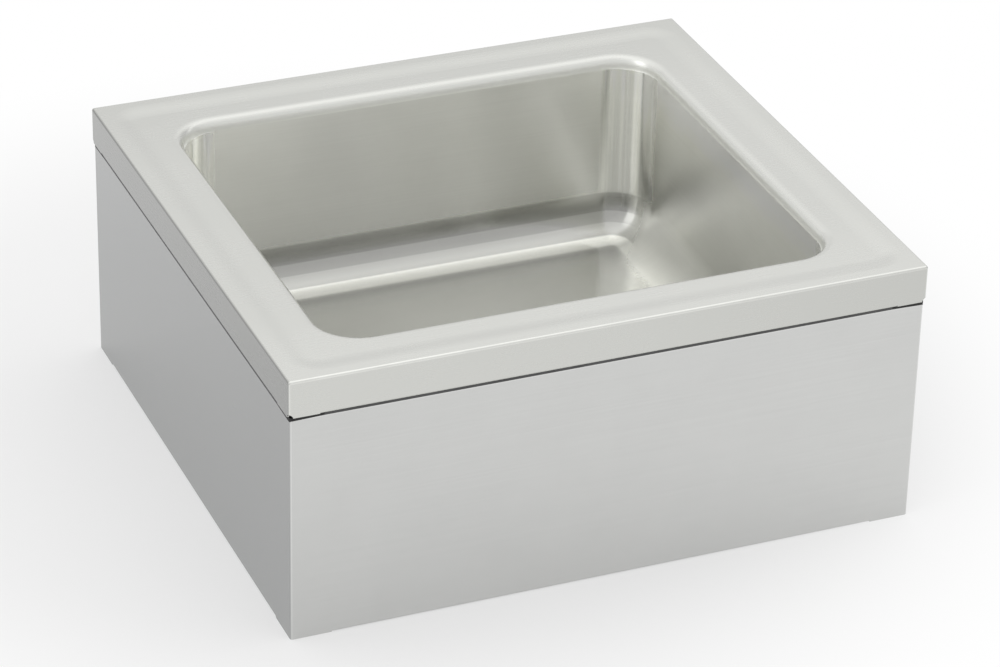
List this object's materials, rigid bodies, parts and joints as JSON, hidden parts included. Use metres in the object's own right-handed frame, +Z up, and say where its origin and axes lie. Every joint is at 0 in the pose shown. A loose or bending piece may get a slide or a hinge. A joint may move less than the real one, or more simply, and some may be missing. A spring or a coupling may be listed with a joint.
{
  "type": "mop service sink",
  "caption": "Low floor-standing stainless steel mop service sink: drawn bowl under a raised-edge deck, on a skirt, with a lift-out drain strainer.",
  "frame": {"origin": "middle of the footprint, on the floor", "axes": "+X to the right along the front, +Y to the rear, +Z up"},
  "size_m": [0.635, 0.5842, 0.2731],
  "materials": {
    "satin_stainless": "satin brushed",
    "galvanised_steel": "zinc coated",
    "damping_pad": "matt",
    "screw_steel": "plain",
    "drain_steel": "polished",
    "brass": "machined",
    "black_rubber": "matt",
    "flange_seal": "matt",
    "fibre": "matt"
  },
  "bodies": {
    "root": {"deck": "satin_stainless", "bowl": "satin_stainless", "skirt_front": "satin_stainless", "skirt_rear": "satin_stainless", "skirt_left": "satin_stainless", "skirt_right": "satin_stainless", "corner_angle_front_left": "galvanised_steel", "corner_angle_front_right": "galvanised_steel", "corner_angle_rear_left": "galvanised_steel", "corner_angle_rear_right": "galvanised_steel", "stiffener_left": "galvanised_steel", "stiffener_right": "galvanised_steel", "sound_pad_front": "damping_pad", "sound_pad_rear": "damping_pad", "sound_pad_left": "damping_pad", "sound_pad_right": "damping_pad", "sound_pad_floor_front": "damping_pad", "sound_pad_floor_rear": "damping_pad", "seam_tape": "black_rubber", "flange_screws": "screw_steel", "flange_washers": "screw_steel", "flange_nuts": "screw_steel", "drain_body": "drain_steel", "drain_flange_seal": "flange_seal", "drain_rubber_washer": "black_rubber", "drain_fibre_washer": "fibre", "drain_locknut": "brass", "pipe_gasket": "black_rubber", "pipe_gasket_nut": "brass"},
    "strainer": {"strainer_basket": "drain_steel", "strainer_post": "drain_steel", "strainer_knob": "drain_steel", "strainer_stopper": "black_rubber", "strainer_nut": "drain_steel"}
  },
  "joints": [
    {"name": "strainer_lift", "type": "slide", "parent": "root", "child": "strainer", "axis": [0, 0, 1], "range_m": [0, 0.245]}
  ]
}
